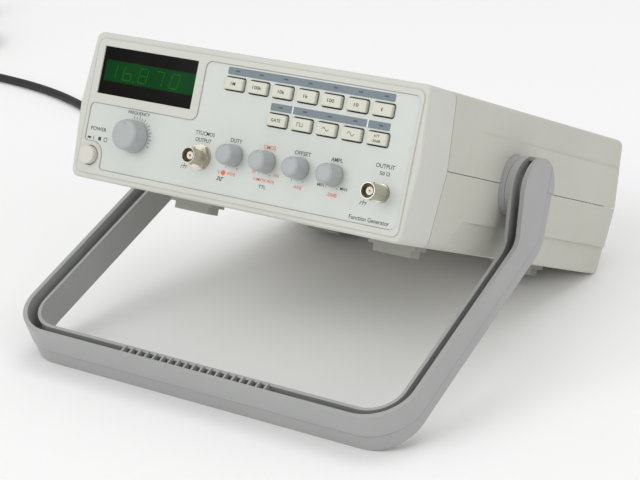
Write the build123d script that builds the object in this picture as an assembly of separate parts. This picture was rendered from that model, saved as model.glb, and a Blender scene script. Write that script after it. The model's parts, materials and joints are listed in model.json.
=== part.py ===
from build123d import *
import math
import os

# Bench function generator standing tilted on its carrying handle, with its mains lead.
# Everything is drawn in the case frame: x to the right, y from the front panel into the
# case, z up from the underside of the bezel. placed() tips the case back onto its rear
# bottom edge and the handle's crossbar, and puts the origin under the middle of it.

# ---- case ----
HALF_WIDTH_SEAM = 125.5      # half width at the mid-height seam
HALF_WIDTH_TOP = 121.8       # half width at the top edge
HALF_WIDTH_BOTTOM = 122.0    # half width at the bottom edge
LEFT_EXTRA = 3.0             # the left side stands this much further out than the right
CASE_HEIGHT = 93.0
SEAM_Z = 46.6                # height of the seam between the covers
BEZEL_FRONT = -1.0
BEZEL_BACK = 30.9
COVER_FRONT = 31.4
CASE_BACK = 272.0
WALL = 2.6
SEAM_GAP = 0.4
CORNER_RADIUS = 5.0
BEZEL_EDGE_RADIUS = 3.0
REAR_EDGE_RADIUS = 4.9
SIDE_STEP_UPPER_Z = 73.6     # ledge lines along the sides
SIDE_STEP_LOWER_Z = 19.4
SIDE_STEP_START = 64.0       # where the ledges begin behind the bezel
SIDE_STEP_FULL = 88.0
SIDE_STEP_SLANT = 24.4       # how much further forward the lower step begins at its bottom
SIDE_STEP_UPPER_DEPTH = 1.1
SIDE_STEP_LOWER_DEPTH = 2.3
LIP_SIDE = 2.6               # raised lip of the bezel, past the panel's sides
LIP_ABOVE = 4.0              # and past its top and bottom
LIP_HEIGHT = 0.6
LIP_ROUND = 0.5

# ---- lower cover ----
BOARD_POST_X = (-100.0, 100.0)
BOARD_POST_Y = (52.0, 200.0)
BOARD_POST_RADIUS = 3.5
BOARD_Z = 12.0
VENT_COUNT = 15
VENT_PITCH = 8.0
VENT_HALF_WIDTH = 1.5
VENT_Y = (130.0, 180.0)

# ---- front panel ----
PANEL_THICK = 1.5
PANEL_BACK_PLATE = 3.5       # back of the bezel's plate behind the panel
PANEL_LEFT = -119.0
PANEL_RIGHT = 117.3
PANEL_TOP = 85.4
PANEL_BOTTOM = 7.2
WINDOW_FRAME_RIGHT = -36.0   # outer edge of the raised frame round the display
WINDOW_FRAME_BOTTOM = 48.0
POWER_NOTCH_X = -103.3
POWER_NOTCH_Z = 24.0
PANEL_GAP = 0.2

WINDOW_X = (-116.1, -42.3)
WINDOW_Z = (54.4, 84.4)

# ---- controls ----
BUTTON_PITCH = 17.78
BUTTON_WIDTH = 13.4
BUTTON_HEIGHT = 7.2
BUTTON_LAST_X = 94.1         # centre of the right-hand button of both rows
UPPER_ROW_Z = 74.2
LOWER_ROW_Z = 57.1
UPPER_ROW_COUNT = 7
LOWER_ROW_COUNT = 5
BUTTON_OUT = 2.6             # how far a button stands out of the panel
BUTTON_CLEARANCE = 0.4
BUTTON_GAP = 0.6             # round each cap in the front panel
PLUNGER_SIZE = 3.0
SWITCH_FRONT = 9.0
SWITCH_BACK = 16.0

POWER_X = -112.3
POWER_Z = 14.8
POWER_RADIUS = 5.8
POWER_OUT = 5.0

FREQUENCY_X = -80.5
KNOB_Z = 31.6
FREQUENCY_KNOB_RADIUS = 10.3
PULL_KNOB_FIRST_X = -3.8
PULL_KNOB_PITCH = 24.2
PULL_KNOB_COUNT = 4
PULL_KNOB_RADIUS = 6.8
KNOB_LENGTH = 11.0
KNOB_GAP = 1.2               # between a knob's skirt and the panel
KNOB_SKIRT = 1.6             # height of the straight skirt at a knob's foot
KNOB_ROUND = 2.2             # rounding of a knob's front edge
POINTER_WIDTH = 0.8
POINTER_DEPTH = 0.35
SPINDLE_RADIUS = 3.0
BUSHING_RADIUS = 4.0
RUNNING_FIT = 0.05

BNC_SYNC_X = -28.0
BNC_MAIN_X = 103.0
BNC_Z = 26.9
BNC_RADIUS = 4.85
BNC_MOUTH_RADIUS = 4.35
BNC_THREAD_RADIUS = 5.6

# ---- feet ----
FOOT_X = 77.0
FOOT_FRONT_Y = 74.0
FOOT_REAR_Y = 236.0

# ---- carrying handle ----
# The arms lie in a plane leaning forward from straight down. Handle coordinates run
# x across, s up the arm from the crossbar, and h out of the channel's open side.
ARM_LEAN = 45.24             # degrees forward of the case's own down
CROSSBAR_Y = -8.65           # open edge of the crossbar's outer wall, case frame
CROSSBAR_Z = -99.0
CHANNEL_HALF = 143.9         # half distance between the outer walls' inner faces
ARM_SPLAY = 0.02             # narrowing of that half distance per millimetre up the arm
OUTER_WALL = 3.0
CHANNEL_WIDTH = 5.9
INNER_WALL = 2.2
INNER_SET_BACK = 3.1         # the inner wall is this much lower than the outer
CORNER = 27.0                # bend radius at the outer wall's inner face
ARM_DEPTH = 24.0
CROSSBAR_DEPTH = 27.7
WEB = 2.6
PARTING_DEPTH = 15.8
PARTING_INSET = 0.9
HUB_Y = 117.5
HUB_Z = 46.8
HUB_RADIUS = 20.0
HUB_FACE_X = 129.3           # inner face of the handle's hub disc
JOURNAL_RADIUS = 6.0
HUB_OPEN = 60.0              # degrees up from the arm where the channel's open side ends
DOG_LEG_FRONT = 55.5         # degrees between the arm and the front edge of the dog-leg
DOG_LEG_REAR = 45.2
KNEE_FRONT = 12.0            # bend radii at the two edges of the dog-leg
KNEE_REAR = 22.0
BAR_TAPER_START = 2.0        # where the side view thickens from the arm to the crossbar
BAR_TAPER_END = 27.0
GRIP_HALF = 54.0
GRIP_RIBS = 19
RIB_THICK = 1.3

# ---- heat sink ----
SINK_LEFT = 14.0
SINK_RIGHT = 108.0
SINK_FINS = 11
SINK_FIN_THICK = 2.0

# ---- rear ----
REAR_PANEL_FRONT = 266.0
REAR_PANEL_THICK = 2.0
INLET_X = -78.0
INLET_Z = 60.0
INLET_HALF_WIDTH = 12.3      # cavity of the mains inlet
INLET_HALF_HEIGHT = 8.4
REAR_BNC_X = (20.0, 55.0)
REAR_BNC_Z = 60.0
REAR_VENT_FIRST_X = 78.0
REAR_VENT_PITCH = 2.8
REAR_VENT_COUNT = 12
REAR_VENT_HALF_WIDTH = 0.8
REAR_VENT_Z = (22.0, 70.0)
REAR_SCREW_PLACES = [(-108.0, 15.0), (-108.0, 78.0), (113.0, 15.0), (113.0, 78.0)]
SCREW_HEAD_RADIUS = 3.0
SCREW_HEAD_HEIGHT = 1.9
SCREW_SHANK_RADIUS = 1.5
SCREW_SHANK_LENGTH = 7.0
SCREW_SLOT_HALF_WIDTH = 0.45
SCREW_SLOT_HALF_LENGTH = 1.8
SCREW_SLOT_DEPTH = 1.1

# ---- mains lead ----
CORD_RADIUS = 3.5
CONNECTOR_BACK = 302.0       # case frame, back of the connector's body
RELIEF_BACK = 330.0          # case frame, where the cord leaves its strain relief
FIRST_RUN = 25.0
CORD_ROUTE = [               # finished frame, after the strain relief and the first run
    (-86.0, 254.0, 8.6), (-106.0, 272.0, 3.9), (-136.0, 281.0, 3.6), (-176.0, 279.0, 3.6),
    (-222.0, 265.0, 3.6), (-270.0, 244.0, 3.6), (-318.0, 226.0, 3.6), (-366.0, 221.0, 3.6),
    (-412.0, 230.0, 3.6), (-456.0, 248.5, 3.6), (-502.0, 260.5, 3.6), (-554.0, 266.5, 3.6),
    (-609.0, 268.6, 3.6), (-665.0, 268.0, 3.6)]
COIL_X = -672.0
COIL_OUTER_TURN = 49.0       # radius of the cord's middle in the coil's outermost turn
COIL_INNER_TURN = 34.3       # and in its innermost turn
COIL_LAYERS = 2
COIL_CENTRE = (COIL_X, CORD_ROUTE[-1][1] + COIL_OUTER_TURN)
LAYER_HEIGHT = 7.2
PLUG_RADIUS = 18.0
PLUG_RELIEF_LENGTH = 27.0
PLUG_BODY_LENGTH = 44.0
PIN_RADIUS = 2.4
PIN_LENGTH = 19.0
PIN_SPACING = 19.0

nodes = {}


# ---------------------------------------------------------------- helpers
def block(x0, x1, y0, y1, z0, z1):
    size = (abs(x1 - x0), abs(y1 - y0), abs(z1 - z0))
    return Pos((x0 + x1) / 2, (y0 + y1) / 2, (z0 + z1) / 2) * Box(*size)


def rod_y(x, z, radius, y0, y1):
    return Pos(x, (y0 + y1) / 2, z) * Rot(X=90) * Cylinder(radius, abs(y1 - y0))


def rod_x(y, z, radius, x0, x1):
    return Pos((x0 + x1) / 2, y, z) * Rot(Y=90) * Cylinder(radius, abs(x1 - x0))


def rod_z(x, y, radius, z0, z1):
    return Pos(x, y, (z0 + z1) / 2) * Cylinder(radius, abs(z1 - z0))


def cone_y(x, z, radius_back, radius_front, y_back, y_front):
    solid = Cone(radius_back, radius_front, abs(y_back - y_front))
    return Pos(x, (y_back + y_front) / 2, z) * Rot(X=90) * solid


def prism_y(points, y0, y1):
    face = make_face(Polyline([(x, y0, z) for x, z in points], close=True))
    return extrude(face, amount=y1 - y0, dir=(0, 1, 0))


def prism_x(points, x0, x1):
    face = make_face(Polyline([(x0, y, z) for y, z in points], close=True))
    return extrude(face, amount=x1 - x0, dir=(1, 0, 0))


def prism_z(points, z0, z1):
    face = make_face(Polyline([(x, y, z0) for x, y in points], close=True))
    return extrude(face, amount=z1 - z0, dir=(0, 0, 1))


def edges_at(solid, axis, spot):
    """The straight edges along an axis that pass through spot, given in the other two."""
    keep = []
    for edge in solid.edges().filter_by(axis):
        middle = edge.center()
        across = {Axis.X: (middle.Y, middle.Z), Axis.Y: (middle.X, middle.Z),
                  Axis.Z: (middle.X, middle.Y)}[axis]
        if math.dist(across, spot) < 0.05:
            keep.append(edge)
    return keep


def round_corners(solid, axis, corners):
    for spot, radius in corners:
        solid = fillet(edges_at(solid, axis, spot), radius)
    return solid


def case_outline(inset=0.0, low=0.0, high=CASE_HEIGHT):
    """Cross-section of the case, widest at the seam."""
    points = []
    for z in (low, SEAM_Z, high):
        if low <= z <= high:
            points.append((half_width(z) - inset, z))
    left = [(-x - LEFT_EXTRA, z) for x, z in reversed(points)]
    return points + left


def half_width(z):
    if z < SEAM_Z:
        return HALF_WIDTH_BOTTOM + (HALF_WIDTH_SEAM - HALF_WIDTH_BOTTOM) * z / SEAM_Z
    share = (z - SEAM_Z) / (CASE_HEIGHT - SEAM_Z)
    return HALF_WIDTH_SEAM + (HALF_WIDTH_TOP - HALF_WIDTH_SEAM) * share


def on_side(side, x):
    """A distance out from the middle, put on the right (1) or the left (-1) side."""
    return x if side > 0 else -x - LEFT_EXTRA


# ---------------------------------------------------------------- placing
def handle_to_case(s, h):
    """Case y and z of a point given up the arm and out of the channel."""
    lean = math.radians(ARM_LEAN)
    y = CROSSBAR_Y + s * math.sin(lean) - h * math.cos(lean)
    z = CROSSBAR_Z + s * math.cos(lean) + h * math.sin(lean)
    return y, z


def case_to_handle(y, z):
    lean = math.radians(ARM_LEAN)
    dy = y - CROSSBAR_Y
    dz = z - CROSSBAR_Z
    s = dy * math.sin(lean) + dz * math.cos(lean)
    h = dz * math.sin(lean) - dy * math.cos(lean)
    return s, h


def stand_tilt():
    """Tilt that puts the crossbar and the rounded rear bottom edge on one floor."""
    foot_y, foot_z = handle_to_case(-(OUTER_WALL - PARTING_INSET), -CROSSBAR_DEPTH)
    dy = CASE_BACK - CORNER_RADIUS - foot_y
    dz = CORNER_RADIUS - foot_z
    return math.degrees(math.atan2(dz, dy) - math.asin(CORNER_RADIUS / math.hypot(dy, dz)))


TILT = stand_tilt()


# ---------------------------------------------------------------- case shells
def front_bezel():
    solid = prism_y(case_outline(), BEZEL_FRONT, BEZEL_BACK)
    corners = [((on_side(side, half_width(z)), z), CORNER_RADIUS) for side in (-1, 1)
               for z in (0.0, CASE_HEIGHT)]
    solid = round_corners(solid, Axis.Y, corners)
    front = solid.faces().sort_by(Axis.Y)[0]
    solid = fillet(front.edges(), BEZEL_EDGE_RADIUS)
    hollow = prism_y(case_outline(WALL, WALL, CASE_HEIGHT - WALL), PANEL_BACK_PLATE, BEZEL_BACK)
    solid -= hollow
    solid -= panel_blank(PANEL_GAP, BEZEL_FRONT - 1, PANEL_THICK)
    solid -= block(*WINDOW_X, BEZEL_FRONT - 1, PANEL_BACK_PLATE + 1, *WINDOW_Z)
    for hole in panel_holes(BEZEL_FRONT - 1, PANEL_BACK_PLATE + 1):
        solid -= hole
    solid -= rod_y(POWER_X, POWER_Z, POWER_RADIUS + BUTTON_CLEARANCE, BEZEL_FRONT - 1,
                   PANEL_BACK_PLATE + 1)
    solid -= outside_lip()
    return fillet(lip_edges(solid), LIP_ROUND)


def outside_lip():
    """The shallow step all round the front, outside the lip that frames the panel."""
    low = PANEL_BOTTOM - LIP_ABOVE
    high = PANEL_TOP + LIP_ABOVE
    left = PANEL_LEFT - LIP_SIDE
    right = PANEL_RIGHT + LIP_SIDE
    y0 = BEZEL_FRONT - 1
    y1 = BEZEL_FRONT + LIP_HEIGHT
    inside = block(left, right, y0 - 1, y1 + 1, low, high)
    inside = fillet(inside.edges().filter_by(Axis.Y), CORNER_RADIUS)
    return block(-140, 140, y0, y1, -10, CASE_HEIGHT + 10) - inside


def lip_edges(solid):
    """The front edges of the panel recess and of the window opening."""
    edges = []
    for edge in solid.edges():
        box = edge.bounding_box()
        on_front = abs(box.min.Y - BEZEL_FRONT) < 0.01 and abs(box.max.Y - BEZEL_FRONT) < 0.01
        inside_x = box.min.X > PANEL_LEFT - 1 and box.max.X < PANEL_RIGHT + 1
        inside_z = box.min.Z > PANEL_BOTTOM - 1 and box.max.Z < PANEL_TOP + 1
        if on_front and inside_x and inside_z:
            edges.append(edge)
    return edges


def panel_blank(grow, y0, y1):
    """Outline of the inset front panel, with its two notches, as a plate."""
    left = PANEL_LEFT - grow
    right = PANEL_RIGHT + grow
    top = PANEL_TOP + grow
    bottom = PANEL_BOTTOM - grow
    frame_right = WINDOW_FRAME_RIGHT - grow
    frame_bottom = WINDOW_FRAME_BOTTOM + grow
    notch_x = POWER_NOTCH_X - grow
    notch_z = POWER_NOTCH_Z - grow
    points = [(left, frame_bottom), (frame_right, frame_bottom), (frame_right, top),
              (right, top), (right, bottom), (notch_x, bottom), (notch_x, notch_z),
              (left, notch_z)]
    radii = [3 + grow, 5 - grow, 4 + grow, 4 + grow, 5 + grow, 2 + grow, 9 - grow, 2 + grow]
    plate = prism_y(points, y0, y1)
    return round_corners(plate, Axis.Y, list(zip(points, radii)))


def button_places():
    """Name and centre of every panel push button."""
    places = []
    for row, count, z in (("range", UPPER_ROW_COUNT, UPPER_ROW_Z),
                          ("function", LOWER_ROW_COUNT, LOWER_ROW_Z)):
        for index in range(count):
            x = BUTTON_LAST_X - (count - 1 - index) * BUTTON_PITCH
            places.append((f"{row}_button_{index + 1}", x, z))
    return places


def pull_knob_places():
    return [PULL_KNOB_FIRST_X + index * PULL_KNOB_PITCH for index in range(PULL_KNOB_COUNT)]


def panel_holes(y0, y1):
    holes = []
    half_x = BUTTON_WIDTH / 2 + BUTTON_GAP
    half_z = BUTTON_HEIGHT / 2 + BUTTON_GAP
    for _, x, z in button_places():
        hole = block(x - half_x, x + half_x, y0, y1, z - half_z, z + half_z)
        holes.append(fillet(hole.edges().filter_by(Axis.Y), 1.4))
    for x in [FREQUENCY_X] + pull_knob_places():
        holes.append(rod_y(x, KNOB_Z, BUSHING_RADIUS, y0, y1))
    for x in (BNC_SYNC_X, BNC_MAIN_X):
        holes.append(rod_y(x, BNC_Z, BNC_THREAD_RADIUS, y0, y1))
    return holes


def front_panel():
    plate = panel_blank(0.0, 0.0, PANEL_THICK)
    for hole in panel_holes(-1.0, PANEL_THICK + 1):
        plate -= hole
    return plate


def display_window():
    gap = 0.1
    return block(WINDOW_X[0] + gap, WINDOW_X[1] - gap, -0.2, 2.0,
                 WINDOW_Z[0] + gap, WINDOW_Z[1] - gap)


def display_module():
    x0, x1 = WINDOW_X
    module = block(x0 + 4, x1 - 4, 4.0, 15.0, WINDOW_Z[0] + 3, WINDOW_Z[1] - 3)
    module -= block(x0 + 7, x1 - 7, 3.0, 5.2, WINDOW_Z[0] + 6, WINDOW_Z[1] - 6)
    return module


def side_step_cutters():
    """Wedges that set the case sides back above and below the middle band."""
    cutters = []
    for side in (-1, 1):
        for low, high, depth, slant in (
                (SIDE_STEP_UPPER_Z, CASE_HEIGHT + 5, SIDE_STEP_UPPER_DEPTH, 0.0),
                (-5.0, SIDE_STEP_LOWER_Z, SIDE_STEP_LOWER_DEPTH, SIDE_STEP_SLANT)):
            inner_low = half_width(max(low, 0)) - depth
            inner_high = half_width(min(high, CASE_HEIGHT)) - depth
            outer = HALF_WIDTH_SEAM + 8
            low_start = SIDE_STEP_START - slant
            front = [(inner_low + depth, low_start), (inner_low, SIDE_STEP_FULL - slant),
                     (inner_low, CASE_BACK + 1), (outer, CASE_BACK + 1),
                     (outer, low_start)]
            back = [(inner_high + depth, SIDE_STEP_START), (inner_high, SIDE_STEP_FULL),
                    (inner_high, CASE_BACK + 1), (outer, CASE_BACK + 1),
                    (outer, SIDE_STEP_START)]
            faces = []
            for outline, z in ((front, low), (back, high)):
                corners = [(on_side(side, x), y, z) for x, y in outline]
                faces.append(make_face(Polyline(corners, close=True)))
            cutters.append(loft(faces))
    return cutters


def cover(low, high, outer_z):
    """One of the two shells, from the seam to the top or the bottom."""
    solid = prism_y(case_outline(0, low, high), COVER_FRONT, CASE_BACK)
    corners = [((on_side(side, half_width(outer_z)), outer_z), CORNER_RADIUS)
               for side in (-1, 1)]
    solid = round_corners(solid, Axis.Y, corners)
    rear_edge = []
    for edge in solid.edges().filter_by(Axis.X):
        middle = edge.center()
        if abs(middle.Y - CASE_BACK) < 0.1 and abs(middle.Z - outer_z) < 0.1:
            rear_edge.append(edge)
    solid = fillet(rear_edge, REAR_EDGE_RADIUS)
    for cutter in side_step_cutters():
        solid -= cutter
    return solid


def hub_holes():
    holes = rod_x(HUB_Y, HUB_Z, HUB_RADIUS - 0.5, -HUB_FACE_X, -100)
    holes += rod_x(HUB_Y, HUB_Z, HUB_RADIUS - 0.5, 100, HUB_FACE_X)
    return holes


def upper_cover():
    low = SEAM_Z + SEAM_GAP / 2
    solid = cover(low, CASE_HEIGHT, CASE_HEIGHT)
    inner = case_outline(WALL + 1.2, low - 1, CASE_HEIGHT - WALL)
    solid -= prism_y(inner, COVER_FRONT - 1, CASE_BACK - 1.0)
    solid -= prism_y(case_outline(WALL + 4, low - 1, CASE_HEIGHT - WALL - 3),
                     COVER_FRONT - 1, CASE_BACK + 1)
    return solid - hub_holes()


def lower_cover():
    high = SEAM_Z - SEAM_GAP / 2
    solid = cover(0.0, high, 0.0)
    inner = case_outline(WALL + 2.2, WALL, high + 1)
    solid -= prism_y(inner, COVER_FRONT - 1, CASE_BACK - 1.0)
    solid -= prism_y(case_outline(WALL + 5, WALL + 3, high + 1), COVER_FRONT - 1, CASE_BACK + 1)
    for x in BOARD_POST_X:
        for y in BOARD_POST_Y:
            solid += rod_z(x, y, BOARD_POST_RADIUS, WALL - 0.2, BOARD_Z)
    for index in range(VENT_COUNT):
        x = (index - (VENT_COUNT - 1) / 2) * VENT_PITCH
        solid -= block(x - VENT_HALF_WIDTH, x + VENT_HALF_WIDTH, *VENT_Y, -1, WALL + 1)
    return solid - hub_holes()


def rear_panel():
    outline = case_outline(WALL + 5.2, WALL + 3.2, CASE_HEIGHT - WALL - 3.2)
    plate = prism_y(outline, REAR_PANEL_FRONT, REAR_PANEL_FRONT + REAR_PANEL_THICK)
    y0 = REAR_PANEL_FRONT - 1
    y1 = REAR_PANEL_FRONT + REAR_PANEL_THICK + 1
    plate -= block(INLET_X - 14.2, INLET_X + 14.2, y0, y1, INLET_Z - 27.2, INLET_Z + 12.2)
    for x in REAR_BNC_X:
        plate -= rod_y(x, REAR_BNC_Z, BNC_THREAD_RADIUS, y0, y1)
    for index in range(REAR_VENT_COUNT):
        x = REAR_VENT_FIRST_X + index * REAR_VENT_PITCH
        plate -= block(x - REAR_VENT_HALF_WIDTH, x + REAR_VENT_HALF_WIDTH, y0, y1, *REAR_VENT_Z)
    for x, z in REAR_SCREW_PLACES:
        plate -= rod_y(x, z, SCREW_SHANK_RADIUS + 0.1, y0, y1)
    return plate


def rear_screws():
    """Pan-head screws that hold the rear panel, with crossed slots."""
    face = REAR_PANEL_FRONT + REAR_PANEL_THICK
    top = face + SCREW_HEAD_HEIGHT
    screws = []
    for x, z in REAR_SCREW_PLACES:
        head = rod_y(x, z, SCREW_HEAD_RADIUS, face, top)
        head = fillet(head.faces().sort_by(Axis.Y)[-1].edges(), 1.0)
        screw = head + rod_y(x, z, SCREW_SHANK_RADIUS, face - SCREW_SHANK_LENGTH, face + 0.5)
        long = SCREW_SLOT_HALF_LENGTH
        thin = SCREW_SLOT_HALF_WIDTH
        screw -= block(x - long, x + long, top - SCREW_SLOT_DEPTH, top + 1, z - thin, z + thin)
        screw -= block(x - thin, x + thin, top - SCREW_SLOT_DEPTH, top + 1, z - long, z + long)
        screws.append(screw)
    return Compound(children=screws)


def foot(x, y):
    flange = block(x - 17, x + 17, y - 8, y + 8, -4.0, 0.0)
    flange = fillet(flange.edges().filter_by(Axis.Z), 2.0)
    pad = block(x - 14, x + 14, y - 6, y + 6, -8.6, -4.0)
    pad = fillet(pad.edges().filter_by(Axis.Z), 1.5)
    return flange + pad


# ---------------------------------------------------------------- inside the case
def main_board():
    board = block(-108, 108, 42, 212, BOARD_Z, BOARD_Z + 1.6)
    top = BOARD_Z + 1.6
    for index in range(8):
        x = -84 + index * 24
        board += block(x - 4, x + 4, 70, 90, top - 0.1, top + 4)
        board += block(x - 3, x + 3, 105, 115, top - 0.1, top + 6)
    for x in (-60.0, -30.0, 0.0, 30.0):
        board += rod_z(x, 180, 8, top - 0.1, top + 25)
    return board


def front_board():
    board = block(-114, 114, SWITCH_BACK + 0.2, SWITCH_BACK + 1.8, 8, 84)
    board -= block(-122, -98, 10, 25, 5, 25)
    for x in (BNC_SYNC_X, BNC_MAIN_X):
        board -= rod_y(x, BNC_Z, 9, 10, 25)
    return board


def transformer():
    core = block(-52, 8, 222, 262, 5.8, 46)
    coil = block(-46, 2, 217, 264, 14, 38)
    return core + coil


def heat_sink():
    sink = block(SINK_LEFT, SINK_RIGHT, 258, 262, 8, 50)
    pitch = (SINK_RIGHT - SINK_LEFT - SINK_FIN_THICK) / (SINK_FINS - 1)
    for index in range(SINK_FINS):
        x = SINK_LEFT + index * pitch
        sink += block(x, x + SINK_FIN_THICK, 232, 259, 8, 50)
    return sink


def switch_bank(count, z):
    """A row of push switches on one frame, with a guide hole for each plunger."""
    first = BUTTON_LAST_X - (count - 1) * BUTTON_PITCH
    bank = block(first - 7.5, BUTTON_LAST_X + 7.5, SWITCH_FRONT, SWITCH_BACK, z - 5.5, z + 5.5)
    half = PLUNGER_SIZE / 2 + BUTTON_CLEARANCE
    for index in range(count):
        x = first + index * BUTTON_PITCH
        bank -= block(x - half, x + half, SWITCH_FRONT - 1, SWITCH_BACK - 1, z - half, z + half)
    return bank


def push_button(x, z):
    half_x = BUTTON_WIDTH / 2
    half_z = BUTTON_HEIGHT / 2
    cap = block(x - half_x, x + half_x, -BUTTON_OUT, 6.0, z - half_z, z + half_z)
    cap = fillet(cap.edges().filter_by(Axis.Y), 1.0)
    cap = fillet(cap.faces().sort_by(Axis.Y)[0].edges(), 0.6)
    half = PLUNGER_SIZE / 2
    return cap + block(x - half, x + half, 5.9, 12.0, z - half, z + half)


def power_button():
    cap = rod_y(POWER_X, POWER_Z, POWER_RADIUS, -POWER_OUT, 8.0)
    cap = fillet(cap.faces().sort_by(Axis.Y)[0].edges(), 0.8)
    return cap + rod_y(POWER_X, POWER_Z, 2.0, 7.9, 18.0)


def power_switch():
    body = block(POWER_X - 6.5, POWER_X + 6.5, 14.0, 30.0, POWER_Z - 6.5, POWER_Z + 6.5)
    return body - rod_y(POWER_X, POWER_Z, 2.4, 13.0, 24.0)


def pot_bank():
    """Bracket with the five control potentiometers, their bushings reaching the panel."""
    first = FREQUENCY_X
    last = pull_knob_places()[-1]
    bank = block(first - 12, last + 12, 6.0, 7.5, KNOB_Z - 9, KNOB_Z + 9)
    bank -= rod_y(BNC_SYNC_X, BNC_Z, 9.5, 5.0, 9.0)
    bank -= block(BNC_SYNC_X - 9.5, BNC_SYNC_X + 9.5, 5.0, 9.0, KNOB_Z - 10, BNC_Z)
    for x in [first] + pull_knob_places():
        bank += rod_y(x, KNOB_Z, 8.0, 7.0, 15.5)
        bank += rod_y(x, KNOB_Z, BUSHING_RADIUS - 0.2, -0.6, 7.0)
    for x in [first] + pull_knob_places():
        bank -= rod_y(x, KNOB_Z, SPINDLE_RADIUS + RUNNING_FIT, -2.0, 15.0)
    return bank


def knob(x, base_radius, face_radius):
    back = -KNOB_GAP
    front = -KNOB_GAP - KNOB_LENGTH
    shoulder = back - KNOB_SKIRT
    skirt = rod_y(x, KNOB_Z, base_radius, back, shoulder)
    grip = cone_y(x, KNOB_Z, base_radius, face_radius, shoulder, front)
    grip = fillet(grip.faces().sort_by(Axis.Y)[0].edges(), KNOB_ROUND)
    solid = skirt + grip
    half = POINTER_WIDTH / 2
    solid -= block(x - half, x + half, front - 1, front + POINTER_DEPTH,
                   KNOB_Z + 0.7 * face_radius, KNOB_Z + base_radius)
    solid -= block(x - half, x + half, front - 1, shoulder,
                   KNOB_Z + face_radius - POINTER_DEPTH, KNOB_Z + base_radius + 1)
    return solid - rod_y(x, KNOB_Z, SPINDLE_RADIUS + RUNNING_FIT, back + 1, front + 3.0)


def spindle(x):
    return rod_y(x, KNOB_Z, SPINDLE_RADIUS, -KNOB_GAP - KNOB_LENGTH + 3.2, 14.0)


# ---------------------------------------------------------------- connectors
def bnc_shell(x, z, panel_y, out, reach, hex_nut):
    """Coaxial socket shell: out is -1 for the front panel and +1 for the rear one."""
    tip = panel_y + out * reach
    shell = rod_y(x, z, BNC_RADIUS, panel_y, tip)
    shell += rod_y(x, z, BNC_THREAD_RADIUS - 0.15, panel_y - out * 8.0, panel_y + out * 0.6)
    shell += rod_y(x, z, 7.4, panel_y - out * 12.0, panel_y - out * 5.0)
    lug_y = tip - out * 4.6
    lugs = rod_z(x, lug_y, 1.0, z - BNC_RADIUS - 0.85, z + BNC_RADIUS + 0.85)
    shell += lugs
    if hex_nut:
        nut = extrude(RegularPolygon(7.6, 6), amount=1.1, both=True)
        shell += Pos(x, panel_y + out * 1.9, z) * Rot(X=90) * nut
        shell += rod_y(x, z, 7.8, panel_y + out * 0.05, panel_y + out * 0.9)
    return shell - rod_y(x, z, BNC_MOUTH_RADIUS, tip + out, tip - out * 9.0)


def bnc_core(x, z, tip, out):
    """White insulator standing in the socket's floor."""
    core = rod_y(x, z, 2.4, tip - out * 9.0, tip - out * 2.2)
    return core - rod_y(x, z, 0.85, tip, tip - out * 8.0)


def bnc_contact(x, z, tip, out):
    contact = rod_y(x, z, 0.8, tip - out * 8.0, tip - out * 2.0)
    return contact - rod_y(x, z, 0.45, tip, tip - out * 6.0)


def power_inlet():
    """Mains inlet with the fuse drawer under it, flanged on the rear panel."""
    y_face = REAR_PANEL_FRONT + REAR_PANEL_THICK
    body = block(INLET_X - 14, INLET_X + 14, y_face - 24, y_face, INLET_Z - 27, INLET_Z + 12)
    flange = block(INLET_X - 18, INLET_X + 18, y_face, y_face + 2.5, INLET_Z - 30, INLET_Z + 15)
    solid = body + fillet(flange.edges().filter_by(Axis.Y), 2.0)
    cavity = block(INLET_X - INLET_HALF_WIDTH, INLET_X + INLET_HALF_WIDTH, y_face - 16,
                   y_face + 4, INLET_Z - INLET_HALF_HEIGHT, INLET_Z + INLET_HALF_HEIGHT)
    solid -= cavity
    solid -= block(INLET_X - 11, INLET_X + 11, y_face - 20, y_face + 4, INLET_Z - 24, INLET_Z - 13)
    for x, z in pin_places():
        solid += block(x - 1.0, x + 1.0, y_face - 16.1, y_face - 1.5, z - 2.0, z + 2.0)
    return solid


def pin_places():
    return [(INLET_X - 7.0, INLET_Z - 2.0), (INLET_X, INLET_Z + 2.0), (INLET_X + 7.0, INLET_Z - 2.0)]


def fuse_drawer():
    y_face = REAR_PANEL_FRONT + REAR_PANEL_THICK
    drawer = block(INLET_X - 10.8, INLET_X + 10.8, y_face - 19.8, y_face + 3.2,
                   INLET_Z - 23.8, INLET_Z - 13.2)
    return drawer - block(INLET_X - 4, INLET_X + 4, y_face + 2.0, y_face + 4.0,
                          INLET_Z - 19.5, INLET_Z - 17.5)


# ---------------------------------------------------------------- carrying handle
def handle_outline(grow):
    """Half-plane outline of the bent handle at one offset from the channel's outer wall."""
    top = 260.0
    wide_top = CHANNEL_HALF - ARM_SPLAY * top + grow
    wide_low = CHANNEL_HALF + ARM_SPLAY * grow + grow
    points = [(-wide_top, top), (-wide_low, -grow), (wide_low, -grow), (wide_top, top)]
    solid = prism_z(points, -60, 60)
    corners = [(spot, CORNER + grow) for spot in points[1:3]]
    return round_corners(solid, Axis.Z, corners)


def handle_ring(grow_out, grow_in):
    return handle_outline(grow_out) - handle_outline(grow_in)


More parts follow.
